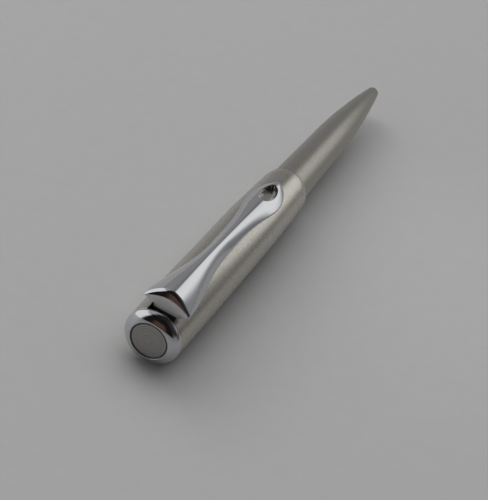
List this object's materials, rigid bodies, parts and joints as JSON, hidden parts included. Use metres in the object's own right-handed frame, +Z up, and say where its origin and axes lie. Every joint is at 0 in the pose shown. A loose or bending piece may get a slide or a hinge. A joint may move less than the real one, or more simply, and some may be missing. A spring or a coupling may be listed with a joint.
{
  "type": "push-action ballpoint pen",
  "caption": "Retractable metal ballpoint pen: the rear barrel slides over the front section to push the point out, with a sprung polished clip and a domed end.",
  "frame": {"origin": "on the surface that the pen lies on, below the middle of its length and width", "axes": "+Y along the pen towards its point, +Z up through the clip, +X to the right of someone who looks along the pen towards its point"},
  "size_m": [0.0132, 0.1358, 0.0168],
  "materials": {
    "brushed_steel": "brushed along the pen, satin",
    "polished_chrome": "mirror polished",
    "satin_grey": "satin, bare",
    "dark_enamel": "dark ring in a groove",
    "spring_steel": "bright drawn wire and turned steel",
    "brass": "turned brass",
    "refill_brass": "drawn brass tube",
    "hard_alloy": "turned hard alloy",
    "black_nylon": "moulded",
    "white_nylon": "moulded",
    "black_rubber": "moulded rubber"
  },
  "bodies": {
    "front": {"front_section": "brushed_steel", "inner_tube": "brass", "cam_housing": "black_nylon", "spring_ring": "spring_steel", "stop_ring": "spring_steel", "bumper_ring": "black_rubber", "refill_spring": "spring_steel"},
    "barrel": {"rear_barrel": "brushed_steel", "seam_ring": "polished_chrome", "mouth_bush": "white_nylon", "rear_bush": "white_nylon", "clip_bracket": "brass", "end_dome": "polished_chrome", "end_screw": "spring_steel", "disc_ring": "dark_enamel", "end_disc": "satin_grey", "clip_pin": "spring_steel", "clip_spring": "spring_steel", "return_spring": "spring_steel"},
    "clip": {"clip": "polished_chrome"},
    "plunger": {"cam_plunger": "white_nylon"},
    "refill": {"refill_tube": "refill_brass", "refill_plug": "black_nylon", "refill_collar": "refill_brass", "refill_nose": "hard_alloy"},
    "rotor": {"cam_rotor": "black_nylon"},
    "ball": {"refill_ball": "hard_alloy"}
  },
  "joints": [
    {"name": "push", "type": "slide", "parent": "front", "child": "barrel", "axis": [0, 1, 0], "range_m": [0, 0.0045], "stiffness_N_per_m": 350, "springref_m": -0.004, "deforming": ["return_spring"]},
    {"name": "clip_hinge", "type": "hinge", "parent": "barrel", "child": "clip", "pos_m": [0, -0.0604, 0.00905], "axis": [1, 0, 0], "range_deg": [0, 5], "stiffness_Nm_per_rad": 0.4, "springref_deg": -2.86, "deforming": ["clip_spring"]},
    {"name": "plunger_slide", "type": "slide", "parent": "front", "child": "plunger", "axis": [0, 1, 0], "range_m": [0, 0.0045]},
    {"name": "refill_slide", "type": "slide", "parent": "front", "child": "refill", "axis": [0, 1, 0], "range_m": [0, 0.0045], "deforming": ["refill_spring"]},
    {"name": "rotor_turn", "type": "hinge", "parent": "refill", "child": "rotor", "pos_m": [0, -0.0396, 0.0061], "axis": [0, 1, 0], "range_deg": [0, 45]},
    {"name": "ball_roll", "type": "hinge", "parent": "refill", "child": "ball", "pos_m": [0, 0.06635, 0.0061], "axis": [1, 0, 0], "continuous": true}
  ],
  "couplings": [
    {"joint": "plunger_slide", "follows": "push", "ratio": 1},
    {"joint": "refill_slide", "follows": "push", "ratio": 1},
    {"joint": "rotor_turn", "follows": "push", "rad_per_m": 174.53}
  ]
}
